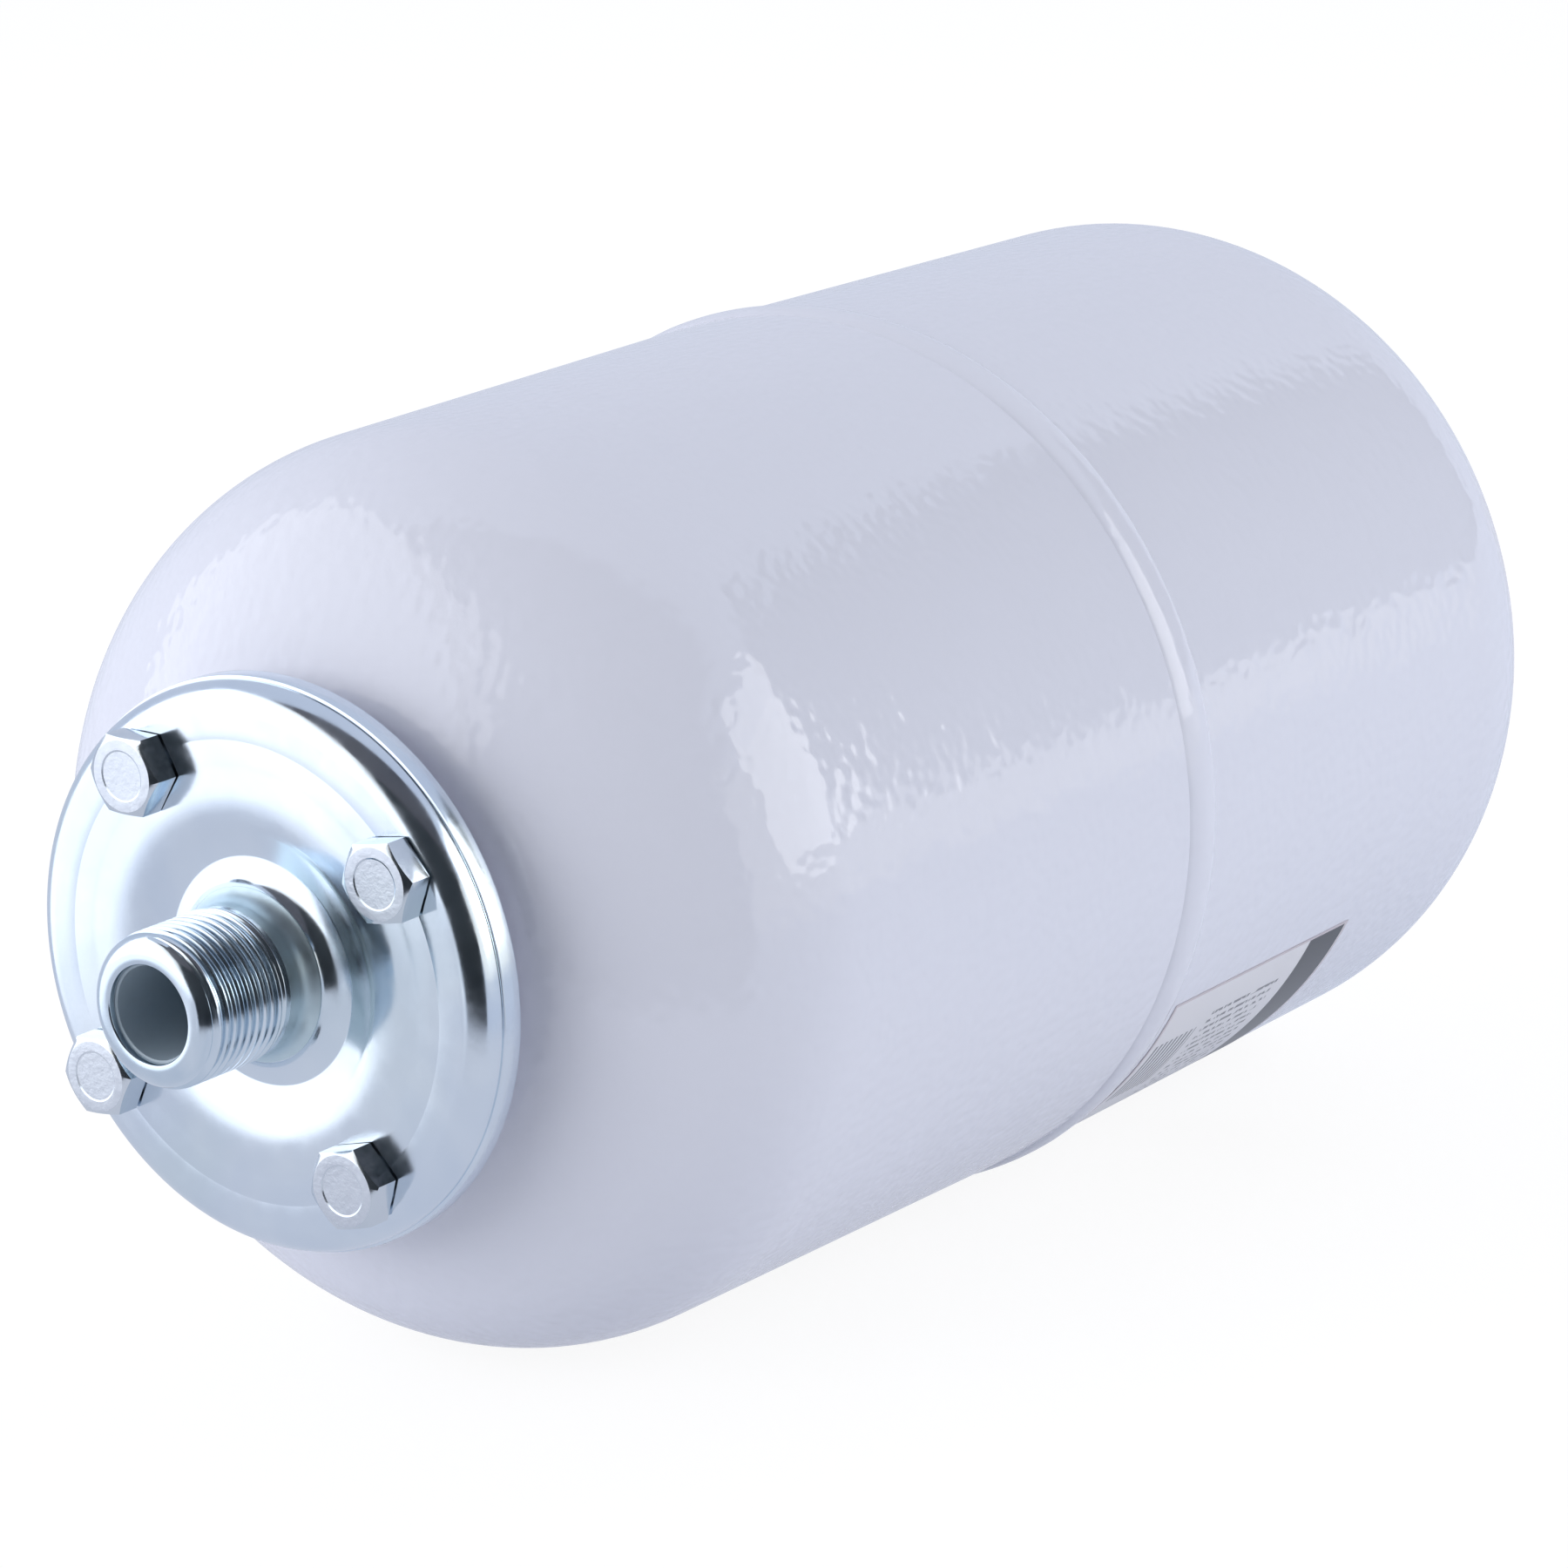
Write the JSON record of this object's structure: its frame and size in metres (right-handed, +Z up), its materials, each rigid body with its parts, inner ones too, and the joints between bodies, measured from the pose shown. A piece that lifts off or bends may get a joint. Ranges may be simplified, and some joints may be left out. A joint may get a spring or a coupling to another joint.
{
  "type": "diaphragm accumulator",
  "caption": "Cylindrical domed pressure vessel with a bolted flange cover and male pipe nipple at one end, a rubber bladder inside and a capped gas valve at the other end.",
  "frame": {"origin": "on the vessel's axis, at the inner end of the nipple's pipe thread, where a fitting stops in front of the cover", "axes": "+X along the vessel from the connection towards the gas valve, +Z up as it lies"},
  "size_m": [0.361, 0.165, 0.165],
  "materials": {
    "white_coat": "gloss powder coat with a faint orange peel",
    "zinc": "bright zinc plating",
    "plain_steel": "plain turned steel",
    "liner_plastic": "smooth moulded plastic",
    "black_rubber": "matte",
    "brass": "turned",
    "spring_steel": "drawn wire",
    "cap_plastic": "moulded, fluted"
  },
  "bodies": {
    "vessel": {"front_shell": "white_coat", "rear_shell": "white_coat", "girth_weld": "white_coat", "counter_flange": "white_coat", "ring_weld": "plain_steel", "flange_cover": "zinc", "connection_nipple": "zinc", "port_liner": "liner_plastic", "bladder": "black_rubber", "flange_bolts": "zinc", "valve_boss": "white_coat", "valve_seal": "black_rubber", "valve_stem": "brass", "core_body": "brass", "core_seal": "black_rubber", "core_spring": "spring_steel"},
    "cap_carrier": {"cap_seal": "black_rubber"},
    "cap": {"valve_cap": "cap_plastic"},
    "valve_pin": {"core_pin": "brass", "poppet_seal": "black_rubber"}
  },
  "joints": [
    {"name": "cap_lift", "type": "slide", "parent": "vessel", "child": "cap_carrier", "axis": [1, 0, 0], "range_m": [0, 0.04]},
    {"name": "cap_turn", "type": "hinge", "parent": "cap_carrier", "child": "cap", "pos_m": [0.33, 0, 0], "axis": [1, 0, 0], "continuous": true},
    {"name": "pin_press", "type": "slide", "parent": "vessel", "child": "valve_pin", "axis": [-1, 0, 0], "range_m": [0, 0.0012], "stiffness_N_per_m": 600, "springref_m": -0.003, "deforming": ["core_spring"]}
  ]
}
